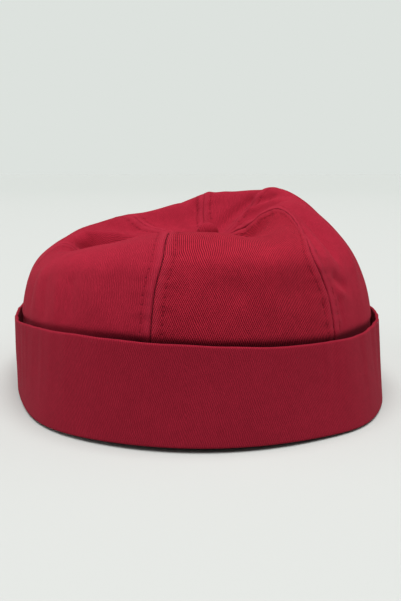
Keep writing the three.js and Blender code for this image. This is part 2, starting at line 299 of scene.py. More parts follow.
@dataclass(frozen=True)
class CapForm:
    """The cap's plan, cuff and crown as surfaces, in millimetres."""

    mean_radius: float = 99.5
    plan_centre: tuple[float, float] = (-2.43, 1.06)
    rim_height: float = 38.6
    foot_flare: float = 1.021
    cuff_wall: float = 2.0
    stand_off: float = 1.4
    below_rim: float = 1.0
    front_lift: float = 1.9
    inner_leg_top: float = 12.0
    seam_gap: float = 0.3
    side_above_rim: float = 18.0
    button_centre: tuple[float, float] = (7.0, 12.0)
    button_z: float = 72.4
    button_seat: float = 7.0

    # Reaches of the base, rim, side, shoulder, crest, hollow, button seat and middle.
    knots = (0.0, 0.20, 0.34, 0.50, 0.66, 0.84, 0.955, 1.0)
    seam_knots = (0, 2, 3, 4, 5, 7)

    def rim_radius(self, angle: Array) -> Array:
        """Radius of the cuff's top edge, outside."""
        return self.mean_radius * (1 + waves(PLAN_WAVES, angle))

    def rim_z(self, angle: Array) -> Array:
        """Height of the cuff's top edge."""
        return self.rim_height + waves(RIM_WAVES, angle)

    def cuff_radius(self, angle: Array, z: Array) -> Array:
        """Radius of the cuff's outer face at a height."""
        flare = self.foot_flare - 1 + waves(FOOT_WAVES, angle)
        for spread in FOOT_SPREADS:
            turn = (np.degrees(angle) - spread.deg + 180) % 360 - 180
            flare = flare + spread.height / self.mean_radius * bell(turn, spread.width)
        return self.rim_radius(angle) * (1 + flare * (1 - z / self.rim_z(angle)))

    def cuff_bottom(self, angle: Array) -> Array:
        """Height of the cuff's lower fold, which leaves the floor at the front."""
        return self.front_lift * np.maximum(0.0, np.cos(angle)) ** 4

    @staticmethod
    def around(centre: tuple[float, float], radius: Array, angle: Array, z: Array) -> Array:
        """Points at a radius and a height round a centre, shape (..., 3)."""
        x = centre[0] + radius * np.sin(angle)
        y = centre[1] - radius * np.cos(angle)
        return np.stack([x, y, z + 0 * x], axis=-1)

    def sections(self, angle: Array) -> Array:
        """The section's sizes in each direction, shape (N, 7)."""
        table = np.array([astuple(section) for section in SECTIONS], float)
        deg, rows = table[:, 0], table[:, 1:]
        around = np.concatenate([deg - 360, deg, deg + 360])
        turned = (np.degrees(angle) - deg[0]) % 360 + deg[0]
        return through(around, np.concatenate([rows] * 3), turned)

    def smooth(self, angle: Array, reach: Array) -> Array:
        """The crown without its folds.

        Args:
            angle: directions in radians, shape (N,).
            reach: how far up the crown, shape (N,).

        Returns:
            Points, shape (N, 3).
        """
        side, shoulder, shoulder_z, crest_r, crest_z, hollow_r, hollow_z = self.sections(angle).T
        top = self.rim_z(angle)
        inset = self.cuff_wall + self.stand_off
        base, tucked = self.inner_leg_top + self.seam_gap, top - self.below_rim
        line = self.rim_radius(angle) - inset
        plan, mid = self.plan_centre, self.button_centre
        stations = (
            (plan, self.cuff_radius(angle, base) - inset, base),
            (plan, self.cuff_radius(angle, tucked) - inset, tucked),
            (plan, line - side, top + self.side_above_rim),
            (plan, line - shoulder, shoulder_z),
            (mid, crest_r, crest_z),
            (mid, hollow_r, hollow_z),
            (mid, self.button_seat, self.button_z),
            (mid, 0.0, self.button_z),
        )
        profile = np.stack([self.around(spot, radius, angle, z) for spot, radius, z in stations])
        return through(self.knots, profile, reach)

    def normal(self, angle: Array, reach: Array) -> Array:
        """Outward directions of the crown without its folds, shape (N, 3)."""
        step = 0.002
        high = np.minimum(reach + step, 1 - step)
        low = np.minimum(np.maximum(reach - step, 0.0), high - step)
        along = self.smooth(angle + step, reach) - self.smooth(angle - step, reach)
        up = self.smooth(angle, high) - self.smooth(angle, low)
        return unit(np.cross(along, up))

    def seam_angle(self, index: int, reach: Array) -> Array:
        """Direction of a seam, in radians; seams past the sixth are the first, a turn later."""
        turns, own = divmod(index, len(SEAMS))
        foot, side, shoulder, crest, hollow, _ = astuple(SEAMS[own])
        values = np.array([foot, side, shoulder, crest, hollow, hollow], float)[:, None]
        knots = [self.knots[i] for i in self.seam_knots]
        return np.radians(through(knots, values, reach)[:, 0] + 360 * turns)


class FoldField:
    """Height that folds and soft ripples add to the smooth crown."""

    pieces = 8
    taper = 0.3
    end_share = 0.25
    ripples = 14
    ripple_spacing = (16.0, 55.0)
    ripple_climb = 0.35

    def __init__(self, form: CapForm, folds: Sequence[Fold], ripple: float, seed: int) -> None:
        """Lay the folds on the crown.

        Args:
            form: the cap's form.
            folds: the ridges and furrows.
            ripple: height of the soft ripples all over, in millimetres.
            seed: seed of the ripples.
        """
        self.form = form
        self.folds = folds
        self.lines = [self._line(fold) for fold in folds]
        chance = np.random.default_rng(seed)
        spacing = chance.uniform(*self.ripple_spacing, self.ripples)
        aim = unit(chance.normal(size=(self.ripples, 3)) * (1.0, 1.0, self.ripple_climb))
        self.ripple_aim = aim * (math.tau / spacing)[:, None]
        self.ripple_start = chance.uniform(0, math.tau, self.ripples)
        self.ripple_height = ripple * spacing / spacing.sum()

    def _line(self, fold: Fold) -> Array:
        """Points along a fold, shape (pieces + 1, 3)."""
        k = np.linspace(0, 1, self.pieces + 1)
        angle = np.radians(fold.from_deg + (fold.to_deg - fold.from_deg) * k)
        return self.form.smooth(angle, fold.from_reach + (fold.to_reach - fold.from_reach) * k)

    def height(self, points: Array) -> Array:
        """Height of folds and ripples at points of the smooth crown, shape (N,)."""
        total = np.zeros(len(points))
        for fold, line in zip(self.folds, self.lines):
            total += self._fold_height(fold, line, points)
        phase = points @ self.ripple_aim.T + self.ripple_start
        return total + np.sin(phase) @ self.ripple_height

    def _fold_height(self, fold: Fold, line: Array, points: Array) -> Array:
        """Height of one fold at points, shape (N,)."""
        best = np.full(len(points), np.inf)
        along = np.zeros(len(points))
        for i, (start, end) in enumerate(zip(line[:-1], line[1:])):
            run = end - start
            k = np.clip((points - start) @ run / (run @ run), 0, 1)
            distance = np.linalg.norm(points - start - k[:, None] * run, axis=1)
            nearer = distance < best
            best[nearer] = distance[nearer]
            along[nearer] = (i + k[nearer]) / self.pieces
        rise = smoothstep(np.minimum(along, 1 - along) / self.taper)
        share = self.end_share + (1 - self.end_share) * rise
        return fold.height * share * bell(best, fold.width)


# ---------------------------------------------------------------- meshes


def mesh_of(bm: bmesh.types.BMesh, name: str) -> bpy.types.Mesh:
    """Turn a bmesh into a mesh with a name, and free it."""
    mesh = bpy.data.meshes.new(name)
    bm.to_mesh(mesh)
    bm.free()
    return mesh


def placed(data: bpy.types.ID) -> bpy.types.Object:
    """Put a mesh, a light or a camera into the scene, as an object with its name."""
    item = bpy.data.objects.new(data.name, data)
    bpy.context.scene.collection.objects.link(item)
    return item


@dataclass
class ClothGrid:
    """A grid of cloth: its points in millimetres and what the finish reads on it.

    cloth holds flat cloth coordinates, seam the distance from the nearest seam and the
    length along it, and worn the dye's wear, with a painted highlight
    along the cuff's top edge, from 0 to 1, or below 0 painted shade. A closed grid joins
    its first and last rows and columns.
    """

    points: Array
    cloth: Array
    seam: Array
    worn: Array
    closed: bool = False

    def build(self, name: str) -> bpy.types.Object:
        """Make the grid as a mesh object.

        Args:
            name: the new object's name.

        Returns:
            The object, linked to the scene, with UV maps cloth and seam and attribute worn.
        """
        rows, columns = self.points.shape[:2]
        bm = bmesh.new()
        bmesh.ops.create_grid(bm, x_segments=columns - 1, y_segments=rows - 1, size=1.0)
        place = np.array([v.co[:2] for v in bm.verts])
        column, row = np.rint((place.T + 1) / 2 * [[columns - 1], [rows - 1]]).astype(int)
        for vert, point in zip(bm.verts, self.points[row, column] * MM):
            vert.co = point
        mesh = mesh_of(bm, name)
        corner = np.empty(len(mesh.loops), int)
        mesh.loops.foreach_get("vertex_index", corner)
        for label, values in (("cloth", self.cloth), ("seam", self.seam)):
            flat = (values[row, column] * MM)[corner].astype(np.float32)
            mesh.uv_layers.new(name=label).uv.foreach_set("vector", flat.ravel())
        worn = mesh.attributes.new("worn", "FLOAT", "POINT")
        worn.data.foreach_set("value", self.worn[row, column].astype(np.float32))
        if self.closed:
            self._close(mesh)
        mesh.shade_smooth()
        return placed(mesh)

    @staticmethod
    def _close(mesh: bpy.types.Mesh) -> None:
        """Join the grid's first and last rows and columns where they meet."""
        bm = bmesh.new()
        bm.from_mesh(mesh)
        bmesh.ops.remove_doubles(bm, verts=bm.verts, dist=0.01 * MM)
        bm.to_mesh(mesh)
        bm.free()


def rounded_outline(corners: Sequence[tuple[float, float, float, float]], step: float) -> Array:
    """Closed outline with rounded corners, its points spaced as under a typical rim.

    Args:
        corners: (inset, share of the rim's height, height above that, radius) of each.
        step: largest distance between points of the outline.

    Returns:
        Points as (inset, share, height), shape (N, 3), with the first point last again.
    """
    spots = np.array(corners, float)
    flat = spots[:, [0, 2]] + spots[:, [1]] * (0.0, TYPICAL_RIM)
    points: list[Array] = []
    for i, here in enumerate(flat):
        before, after = flat[i - 1], flat[(i + 1) % len(flat)]
        share, radius = spots[i, 1], spots[i, 3]
        back, ahead = unit(before - here), unit(after - here)
        bend = math.acos(float(np.clip(-back @ ahead, -1, 1)))
        cut = radius * math.tan(bend / 2)
        middle = here + unit(back + ahead) * math.hypot(radius, cut)
        start, end = here + back * cut - middle, here + ahead * cut - middle
        turns = max(2, math.ceil(radius * bend / min(step, ARC_STEP)))
        for k in range(turns + 1):
            spot = middle + unit(start + (end - start) * (k / turns)) * radius
            points.append(np.array([spot[0], share, spot[1] - share * TYPICAL_RIM]))
    outline = [points[0]]
    for point in points[1:] + points[:1]:
        last = outline[-1]
        rise = (point[2] + TYPICAL_RIM * point[1]) - (last[2] + TYPICAL_RIM * last[1])
        parts = max(1, math.ceil(math.hypot(point[0] - last[0], rise) / step))
        outline += [last + (point - last) * (k / parts) for k in range(1, parts + 1)]
    return np.array(outline)


# ---------------------------------------------------------------- finishes


@dataclass(frozen=True)
class Wire:
    """A node's output in a shader tree, to be reckoned with like a number."""

    tree: "Tree"
    socket: bpy.types.NodeSocket

    def op(self, operation: str, *others: object) -> "Wire":
        """Result of a Math node on this value and others."""
        node = self.tree.add("ShaderNodeMath", operation=operation)
        for socket, value in zip(node.inputs, (self, *others)):
            self.tree.feed(socket, value)
        return Wire(self.tree, node.outputs[0])

    def __add__(self, other: object) -> "Wire":
        """This value plus another."""
        return self.op("ADD", other)

    def __sub__(self, other: object) -> "Wire":
        """This value less another."""
        return self.op("SUBTRACT", other)

    def __mul__(self, other: object) -> "Wire":
        """This value times another."""
        return self.op("MULTIPLY", other)

    def __truediv__(self, other: object) -> "Wire":
        """This value over another."""
        return self.op("DIVIDE", other)

    def clamped(self) -> "Wire":
        """The same result, held between 0 and 1."""
        self.socket.node.use_clamp = True
        return self

    def bell(self, width: float) -> "Wire":
        """Bell curve of this distance, about a third at the width."""
        k = self / width
        return (k * k * -1.0).op("EXPONENT")


class Tree:
    """Short way to add and join the nodes of a shader tree."""

    def __init__(self, tree: bpy.types.NodeTree) -> None:
        """Work on an empty node tree."""
        self.tree = tree
        self.tree.nodes.clear()

    def add(self, kind: str, **settings: object) -> bpy.types.Node:
        """Add a node of a kind, with its settings."""
        node = self.tree.nodes.new(kind)
        for name, value in settings.items():
            setattr(node, name, value)
        return node

    def feed(self, socket: bpy.types.NodeSocket, value: object) -> None:
        """Join a socket to a wire, or set its value."""
        if isinstance(value, Wire):
            self.tree.links.new(value.socket, socket)
        else:
            socket.default_value = value

    def read(self, kind: str, output: str, **settings: object) -> Wire:
        """Output of a node that reads the mesh."""
        return Wire(self, self.add(kind, **settings).outputs[output])

    def uv(self, name: str) -> Wire:
        """A UV map."""
        return self.read("ShaderNodeUVMap", "UV", uv_map=name)

    def place(self) -> Wire:
        """Place on the object, in metres."""
        return self.read("ShaderNodeTexCoord", "Object")

    def group(self, group: bpy.types.NodeTree, **values: object) -> dict[str, Wire]:
        """Outputs of a node group, with its inputs fed by name."""
        node = self.add("ShaderNodeGroup", node_tree=group)
        for name, value in values.items():
            self.feed(node.inputs[name], value)
        return {socket.name: Wire(self, socket) for socket in node.outputs}

    def mix(self, share: Wire, first: "Wire | Colour", second: "Wire | Colour") -> Wire:
        """Blend of two colours."""
        node = self.add("ShaderNodeMix", data_type="RGBA")
        self.feed(node.inputs["Factor"], share)
        for socket, colour in zip(node.inputs[6:8], (first, second)):
            self.feed(socket, colour if isinstance(colour, Wire) else (*colour, 1))
        return Wire(self, node.outputs[2])

    def noise(self, vector: Wire, scale: float, detail: float = 2.0) -> Wire:
        """Value of a Noise Texture."""
        node = self.add("ShaderNodeTexNoise")
        self.feed(node.inputs["Vector"], vector)
        node.inputs["Scale"].default_value = scale
        node.inputs["Detail"].default_value = detail
        return Wire(self, node.outputs["Fac"])

    def scaled(self, vector: Wire, by: Sequence[float]) -> Wire:
        """A vector times another."""
        node = self.add("ShaderNodeVectorMath", operation="MULTIPLY")
        self.feed(node.inputs[0], vector)
        node.inputs[1].default_value = by
        return Wire(self, node.outputs[0])

    def split(self, vector: Wire) -> tuple[Wire, Wire]:
        """First two parts of a vector."""
        node = self.add("ShaderNodeSeparateXYZ")
        self.feed(node.inputs[0], vector)
        return Wire(self, node.outputs[0]), Wire(self, node.outputs[1])

    def surface(self, colour: Wire, height: "Wire | None", values: dict[str, object]) -> None:
        """Cover the material with one shader.

        Args:
            colour: its colour.
            height: its relief in millimetres, if it has one.
            values: its other inputs by name.
        """
        shader = self.add("ShaderNodeBsdfPrincipled")
        self.feed(shader.inputs["Base Color"], colour)
        for name, value in values.items():
            shader.inputs[name].default_value = value
        if height is not None:
            bump = self.add("ShaderNodeBump")
            bump.inputs["Distance"].default_value = MM
            self.feed(bump.inputs["Height"], height)
            self.tree.links.new(bump.outputs[0], shader.inputs["Normal"])
        result = self.add("ShaderNodeOutputMaterial")
        self.tree.links.new(shader.outputs[0], result.inputs["Surface"])


def shader_group(inputs: dict[str, float | None], *outputs: str) -> Callable:
    """Make a function that fills a shader node group into one that gives the group.

    Args:
        inputs: the group's inputs with their values at the start, None for a vector.
        outputs: names of its outputs, in the order in which the function gives them.

    Returns:
        The decorator. The group is made once and has the function's name.
    """

    def decorate(fill: Callable[..., Sequence[Wire]]) -> Callable[[], bpy.types.NodeTree]:
        """Wrap one filling function."""

        def group() -> bpy.types.NodeTree:
            """The group, made once."""
            if fill.__name__ in bpy.data.node_groups:
                return bpy.data.node_groups[fill.__name__]
            made = bpy.data.node_groups.new(fill.__name__, "ShaderNodeTree")
            for name, start in inputs.items():
                kind = "NodeSocketVector" if start is None else "NodeSocketFloat"
                socket = made.interface.new_socket(name, in_out="INPUT", socket_type=kind)
                if start is not None:
                    socket.default_value = start
            for name in outputs:
                made.interface.new_socket(name, in_out="OUTPUT", socket_type="NodeSocketFloat")
            tree = Tree(made)
            entry, leave = tree.add("NodeGroupInput"), tree.add("NodeGroupOutput")
            results = fill(tree, *(Wire(tree, entry.outputs[name]) for name in inputs))
            for name, result in zip(outputs, results):
                tree.feed(leave.inputs[name], result)
            return made

        return group

    return decorate


@shader_group({"Cloth": None, "Spacing": 0.76, "Lean": math.radians(68), "Ragged": 0.3}, "Height")
def twill_weave(tree: Tree, cloth: Wire, spacing: Wire, lean: Wire, ragged: Wire) -> list[Wire]:
    """Twill weave: slanting ribs of short floats, read on cloth coordinates."""
    flat = tree.scaled(cloth, PER_METRE)
    x, y = tree.split(flat)
    sine, cosine = lean.op("SINE"), lean.op("COSINE")
    across, along = x * sine + y * cosine, x * cosine - y * sine
    across = across + tree.noise(flat, 0.09, 1.0) * 1.6 + tree.noise(flat, 0.45) * ragged
    rib = across / spacing
    crest = ((rib * math.tau).op("COSINE") * 0.85 + 0.5).clamped()
    run = along / (spacing * 1.7) + rib.op("FLOOR") * 0.37
    thread = (run * math.tau).op("COSINE") * 0.18 + 0.82
    slub = tree.noise(tree.scaled(flat, (1.4, 0.25, 1.0)), 1.0, 3.0)
    return [crest.op("POWER", 0.8) * thread * (slub * 0.7 + 0.65)]


@shader_group({"Seam": None, "Row": 4.4, "Pitch": 3.6}, "Holes", "Line", "Groove")
def topstitch_marks(tree: Tree, seam: Wire, row: Wire, pitch: Wire) -> list[Wire]:
    """Needle holes along a seam, the pulled line between them and the seam itself."""
    x, y = tree.split(tree.scaled(seam, PER_METRE))
    off, k = x - row, y / pitch
    k = (k - k.op("ROUND")) * pitch
    near = (off * off + k * k).op("SQRT")
    uneven = tree.noise(tree.scaled(seam, (0.0, 1000.0, 0.0)), 0.55)
    return [near.bell(0.42), off.bell(0.55), x.bell(0.34) * (uneven * 1.5 + 0.1).clamped()]


@shader_group({"Place": None}, "Shade")
def uneven_dye(tree: Tree, place: Wire) -> list[Wire]:
    """Slow and quick unevenness of dyed cotton."""
    slow, middle, quick = (tree.noise(place, scale) for scale in (28.0, 210.0, 640.0))
    return [slow * 0.35 + quick * 0.35 + middle * 0.30]


@dataclass(frozen=True)
class Finish:
    """A material that is made once."""

    name: str

    def material(self) -> bpy.types.Material:
        """The finish's material."""
        if self.name in bpy.data.materials:
            return bpy.data.materials[self.name]
        material = bpy.data.materials.new(self.name)
        material.use_nodes = True
        self.paint(Tree(material.node_tree))
        return material

    def paint(self, tree: Tree) -> None:
        """Add the material's nodes to an empty tree."""
        raise NotImplementedError


@dataclass(frozen=True)
class TwillFinish(Finish):
    """Dyed cotton twill with marks along its seams."""

    name: str = "crimson_twill"
    slot: str = "twill"
    rib: Colour = (0.500, 0.0205, 0.0455)
    furrow: Colour = (0.125, 0.0041, 0.0107)
    # The pale colour paints the dye's wear, and on the cuff's top edge a painted highlight as
    # well; shadow is the colour of painted shade.
    worn: Colour = (0.60, 0.055, 0.100)
    shadow: Colour = (0.035, 0.0015, 0.005)
    wear: float = 0.85
    hollow_shade: float = 0.8
    hole_shade: float = 0.42
    groove_shade: float = 0.6
    line_shade: float = 0.10
    spacing: float = 0.76
    lean_deg: float = 68.0
    stitch_row: float = 4.4
    stitch_pitch: float = 3.6
    rib_height: float = 0.135
    hole_depth: float = 0.2
    roughness: float = 0.88
    specular: float = 0.04
    sheen: float = 0.02
    sheen_roughness: float = 0.45
    sheen_tint: Colour = (1.0, 0.55, 0.62)
    unevenness: float = 0.75
    ragged: float = 0.3

    def paint(self, tree: Tree) -> None:
        """Add the twill's nodes to an empty tree."""
        worn = tree.read("ShaderNodeAttribute", "Fac", attribute_name="worn")
        ribs = tree.group(
            twill_weave(), Cloth=tree.uv("cloth"), Spacing=self.spacing,
            Lean=math.radians(self.lean_deg), Ragged=self.ragged,
        )["Height"]
        marks = tree.group(
            topstitch_marks(), Seam=tree.uv("seam"), Row=self.stitch_row, Pitch=self.stitch_pitch
        )
        dye = tree.group(uneven_dye(), Place=tree.place())["Shade"]
        shade = dye * self.unevenness - self.unevenness / 2
        colour = tree.mix((ribs + shade).clamped(), self.furrow, self.rib)
        # The pale colour: wear beside the seams, and wear with a painted highlight along the
        # cuff's top edge.
        colour = tree.mix((worn * self.wear).clamped(), colour, self.worn)
        # Painted shade in the crevice behind the cuff, under its foot, in the needle holes, along
        # the seam groove and the stitch line.
        dark = (worn * -self.hollow_shade).clamped()
        for mark, strength in (
            ("Holes", self.hole_shade), ("Groove", self.groove_shade), ("Line", self.line_shade)
        ):
            dark = dark.op("MAXIMUM", marks[mark] * strength)
        colour = tree.mix(dark, colour, self.shadow)
        relief = ribs * self.rib_height - marks["Holes"] * self.hole_depth
        tree.surface(colour, relief, {
            "Roughness": self.roughness,
            "Specular IOR Level": self.specular,
            "Sheen Weight": self.sheen,
            "Sheen Roughness": self.sheen_roughness,
            "Sheen Tint": (*self.sheen_tint, 1),
        })


SIDE_TWILL = TwillFinish(
    name="crimson_twill_sides",
    rib=(0.384, 0.0168, 0.0388),
    furrow=(0.217, 0.0085, 0.0205),
    spacing=0.72,
    rib_height=0.07,
    unevenness=1.5,
    ragged=1.1,
)
# The cuff's twill is a darker copy of the crown's; the darker dye is painted shade.
CUFF_TWILL_SHADED = TwillFinish(
    name="crimson_twill_cuff",
    rib=(0.316, 0.0140, 0.0325),
    furrow=(0.190, 0.0074, 0.0182),
    unevenness=1.3,
    ragged=0.7,
    spacing=0.79,
    lean_deg=72.0,
    rib_height=0.085,
    sheen=0.028,
)


@dataclass(frozen=True)
class TapeFinish(Finish):
    """Dark cotton tape of the sweatband."""

    name: str = "dark_tape"
    slot: str = "sweatband"
    high: Colour = (0.026, 0.016, 0.020)
    low: Colour = (0.009, 0.005, 0.007)
    spacing: float = 0.6
    lean_deg: float = 45.0
    rib_height: float = 0.1
    roughness: float = 0.92

    def paint(self, tree: Tree) -> None:
        """Add the tape's nodes to an empty tree."""
        ribs = tree.group(
            twill_weave(), Cloth=tree.uv("cloth"), Spacing=self.spacing,
            Lean=math.radians(self.lean_deg),
        )["Height"]
        colour = tree.mix(ribs, self.low, self.high)
        tree.surface(colour, ribs * self.rib_height, {"Roughness": self.roughness})


@dataclass(frozen=True)
class ThreadFinish(Finish):
    """Twisted sewing thread in the cloth's colour."""

    name: str = "crimson_thread"
    slot: str = "twill"
    colour: Colour = (0.31, 0.0115, 0.027)
    dimmest: float = 0.6
    roughness: float = 0.85
    specular: float = 0.05

    def paint(self, tree: Tree) -> None:
        """Add the thread's nodes to an empty tree."""
        dye = tree.group(uneven_dye(), Place=tree.place())["Shade"]
        dim = tuple(self.dimmest * c for c in self.colour)
        values = {"Roughness": self.roughness, "Specular IOR Level": self.specular}
        tree.surface(tree.mix(dye, dim, self.colour), None, values)


@dataclass(frozen=True)
class FloorFinish(Finish):
    """Pale paint, darker a little away from the cap: a painted falloff of the light."""

    name: str = "pale_paint"
    near: Colour = (0.50, 0.512, 0.497)
    far: Colour = (0.462, 0.482, 0.463)
    fade: float = 3.5
    roughness: float = 0.8
    specular: float = 0.1

    def paint(self, tree: Tree) -> None:
        """Add the paint's nodes to an empty tree."""
        x, y = tree.split(tree.place())
        # Painted light falloff: the floor dims away from the cap.
        away = ((x * x + y * y).op("SQRT") / self.fade).clamped()
        values = {"Roughness": self.roughness, "Specular IOR Level": self.specular}
        tree.surface(tree.mix(away, self.near, self.far), None, values)


ClothFinish = TwillFinish | TapeFinish | ThreadFinish


def finish_piece(piece: bpy.types.Object, finish: ClothFinish, *nodes: str) -> None:
    """Give a piece its material, its body and the CAD nodes that it stands for.

    Args:
        piece: the piece.
        finish: its finish.
        nodes: names of the nodes that the piece replaces.
    """
    piece.data.materials.clear()
    piece.data.materials.append(finish.material())
    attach(piece, "root")
    if nodes:
        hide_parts(*nodes)
    log.info("%s: %d faces", piece.name, len(piece.data.polygons))


# ---------------------------------------------------------------- the crown


class Side(Enum):
    """The two seamed edges of a crown panel, seen from outside."""

    LEFT = 0
    RIGHT = 1


@dataclass
class CrownPanel:
    """One gore of the crown, with the relief of its seams."""

    form: CapForm
    folds: FoldField
    index: int
    finish: TwillFinish
    row_step: float = 1.05
    middle_columns: int = 84
    wall: float = 1.2
    tuck_depth: float = 0.9
    tuck_start: float = 0.8
    tuck_run: float = 2.6
    band_height: float = 0.26
    groove_depth: float = 0.48
    groove_width: float = 0.42
    pull_depth: float = 0.2
    pull_width: float = 0.9
    pucker_width: float = 3.5
    full_width: float = 22.0
    marked_width: float = 16.0
    slack_shift: float = 0.45
    seam_wear: float = 0.12
    wear_place: float = 1.6
    wear_width: float = 1.2
    seam_reach: float = 1.5
    cloth_apart: float = 400.0
    stitch_sink: float = 0.02
    stitch_section = (0.34, 0.28)
    stitch_span = (0.14, 0.86, 0.5)
    puckers = ((0.11, 8.3, 1.7), (0.09, 4.7, 0.9))
    edge_steps = (0, 0.25, 0.5, 0.8, 1.2, 1.8, 2.6, 3.3, 3.8, 4.1, 4.4, 4.7, 5.0, 5.5, 6.3,
                  7.4, 8.7, 10.0)

    @property
    def name(self) -> str:
        """The panel's node name."""
        return f"crown_panel_{self.index + 1}"

    def reaches(self) -> Array:
        """Reaches of the panel's rows, about evenly spaced up the cloth."""
        fine = np.linspace(0, 0.99, 500)
        middle = 0.5 * (
            self.form.seam_angle(self.index, fine) + self.form.seam_angle(self.index + 1, fine)
        )
        run = lengths_along(self.form.smooth(middle, fine)[:, None], 0)[:, 0]
        rows = int(run[-1] / self.row_step)
        return np.interp(np.linspace(0, run[-1], rows), run, fine)

    def columns(self, width: Array) -> Array:
        """Distances of the panel's columns from its left seam, for rows of given widths."""
        steps = np.array(self.edge_steps)
        shrink = np.minimum(1.0, width / (2.3 * steps[-1]))[:, None]
        left = steps[None] * shrink
        k = np.linspace(0, 1, self.middle_columns)[None, 1:-1]
        start, end = left[:, -1:], width[:, None] - left[:, -1:]
        ghost = 0.3 * shrink
        return np.concatenate(
            [-ghost, left, start + (end - start) * k, width[:, None] - left[:, ::-1],
             width[:, None] + ghost], axis=1)

    def surface(self, angle: Array, reach: Array) -> Array:
        """Points of the crown with its folds, in the shape of angle plus one axis."""
        flat_angle, flat_reach = angle.ravel(), reach.ravel()
        points = self.form.smooth(flat_angle, flat_reach)
        lift = self.folds.height(points)[:, None] * self.form.normal(flat_angle, flat_reach)
        return (points + lift).reshape(angle.shape + (3,))

    def fan(self, reach: Array) -> tuple[Array, Array, Array]:
        """Where the panel's columns lie, with one more past each seam.

        Args:
            reach: reaches of the rows, shape (rows,).

        Returns:
            Distances from the left seam, directions, both of shape (rows, columns), and the
            panel's widths, shape (rows, 1).
        """
        first, last = (
            self.form.seam_angle(self.index + side.value, reach)[:, None] for side in Side
        )
        # A rough fan of directions, from a little before the left seam, which is its sample
        # number 5, to a little past the right one, number 55, gives the panel's width.
        k, start, stop = np.linspace(-0.1, 1.1, 61), 5, 55
        rough_angle = first + (last - first) * k[None]
        rough_reach = np.repeat(reach[:, None], len(k), axis=1)
        rough = self.form.smooth(rough_angle.ravel(), rough_reach.ravel())
        run = lengths_along(rough.reshape(rough_angle.shape + (3,)), 1)
        run -= run[:, [start]]
        width = run[:, stop]
        distance = self.columns(width)
        angle = np.stack([np.interp(d, r, a) for d, r, a in zip(distance, run, rough_angle)])
        return distance, angle, width[:, None]

    def grid(self) -> ClothGrid:
        """The panel's outer skin."""
        reach = self.reaches()
        distance, angle, width = self.fan(reach)
        points = self.surface(angle, np.repeat(reach[:, None], angle.shape[1], axis=1))
        normal = unit(np.cross(np.gradient(points, axis=1), np.gradient(points, axis=0)))
        climb = lengths_along(points, 0)
        points, normal, climb, distance, angle = (
            values[:, 1:-1] for values in (points, normal, climb, distance, angle)
        )
        near_left = distance <= width - distance
        gap = np.maximum(np.where(near_left, distance, width - distance), 0.0)
        seam_run = np.where(near_left, climb[:, :1], climb[:, -1:])
        tight = np.where(near_left, self.tightness(Side.LEFT), self.tightness(Side.RIGHT))
        above = points[..., 2] - self.form.rim_z(angle)
        tuck = self.tuck_depth * (1 - smoothstep((above + self.tuck_start) / self.tuck_run))
        points = points + normal * (self.relief(gap, seam_run, width, tight) - tuck)[..., None]
        middle = climb[:, climb.shape[1] // 2][:, None]
        cloth = np.stack([distance - width / 2, middle + 0 * distance], axis=2)
        cloth[..., 0] += self.cloth_apart * (self.index + 1)
        # No stitch marks where the panel narrows to the button; slack seams look shallower.
        narrow = 1 - smoothstep(width / self.marked_width - 0.4)
        bare = FAR_FROM_SEAM * narrow * (gap > self.seam_reach)
        slack = self.slack_shift * (1 - tight) * (gap < self.seam_reach)
        seam = np.stack([gap + bare + slack, seam_run + 0 * gap], axis=2)
        return ClothGrid(points, cloth, seam, self.wear(angle, gap, above))

    def tightness(self, side: Side) -> float:
        """How tight the seam on one side is drawn."""
        return SEAMS[(self.index + side.value) % len(SEAMS)].tight

    def relief(self, gap: Array, run: Array, width: Array, tight: Array) -> Array:
        """Relief of the sewn seams: raised allowance, groove and pulled stitch row.

        Args:
            gap: distance from the nearest seam.
            run: length along that seam.
            width: width of the panel there.
            tight: how tight that seam is drawn.

        Returns:
            Heights in millimetres.
        """
        row = self.finish.stitch_row
        taper = smoothstep(width / self.full_width)
        band = self.band_height * (1 - smoothstep((gap - row + 0.3) / 2.0))
        groove = -self.groove_depth * bell(gap, self.groove_width) * tight
        draw = 0.5 + 0.5 * np.cos(math.tau * run / self.finish.stitch_pitch)
        pull = -self.pull_depth * bell(gap - row, self.pull_width) * (0.55 + 0.45 * draw)
        pucker = sum(
            height * np.sin(math.tau * run / length + phase * self.index)
            for height, length, phase in self.puckers
        )
        relief = band + pull + pucker * bell(gap - row, self.pucker_width)
        return taper * relief + groove * (0.4 + 0.6 * taper)

    def wear(self, angle: Array, gap: Array, above: Array) -> Array:
        """Wear beside the seams, less the shade in the crevice behind the cuff.

        Args:
            angle: direction round the cap, in radians.
            gap: distance from the nearest seam.
            above: height above the cuff's top edge.

        Returns:
            Wear from 0 to 1, or below 0 how deep the painted shade is.
        """
        # The painted shade is strongest from 15 degrees left of the front to 46 degrees right of
        # it, and climbs least straight in front.
        turned = np.arctan2(np.sin(angle), np.cos(angle))
        shade_share = smoothstep((turned + 0.45) / 0.2) * smoothstep((1.2 - turned) / 0.4)
        tall = 3.6 + 1.6 * smoothstep((np.abs(turned - 0.02) - 0.05) / 0.2)
        shade = (0.3 + 0.65 * shade_share) * (1 - smoothstep((above + 1.2) / tall))
        return self.seam_wear * bell(gap - self.wear_place, self.wear_width) - shade

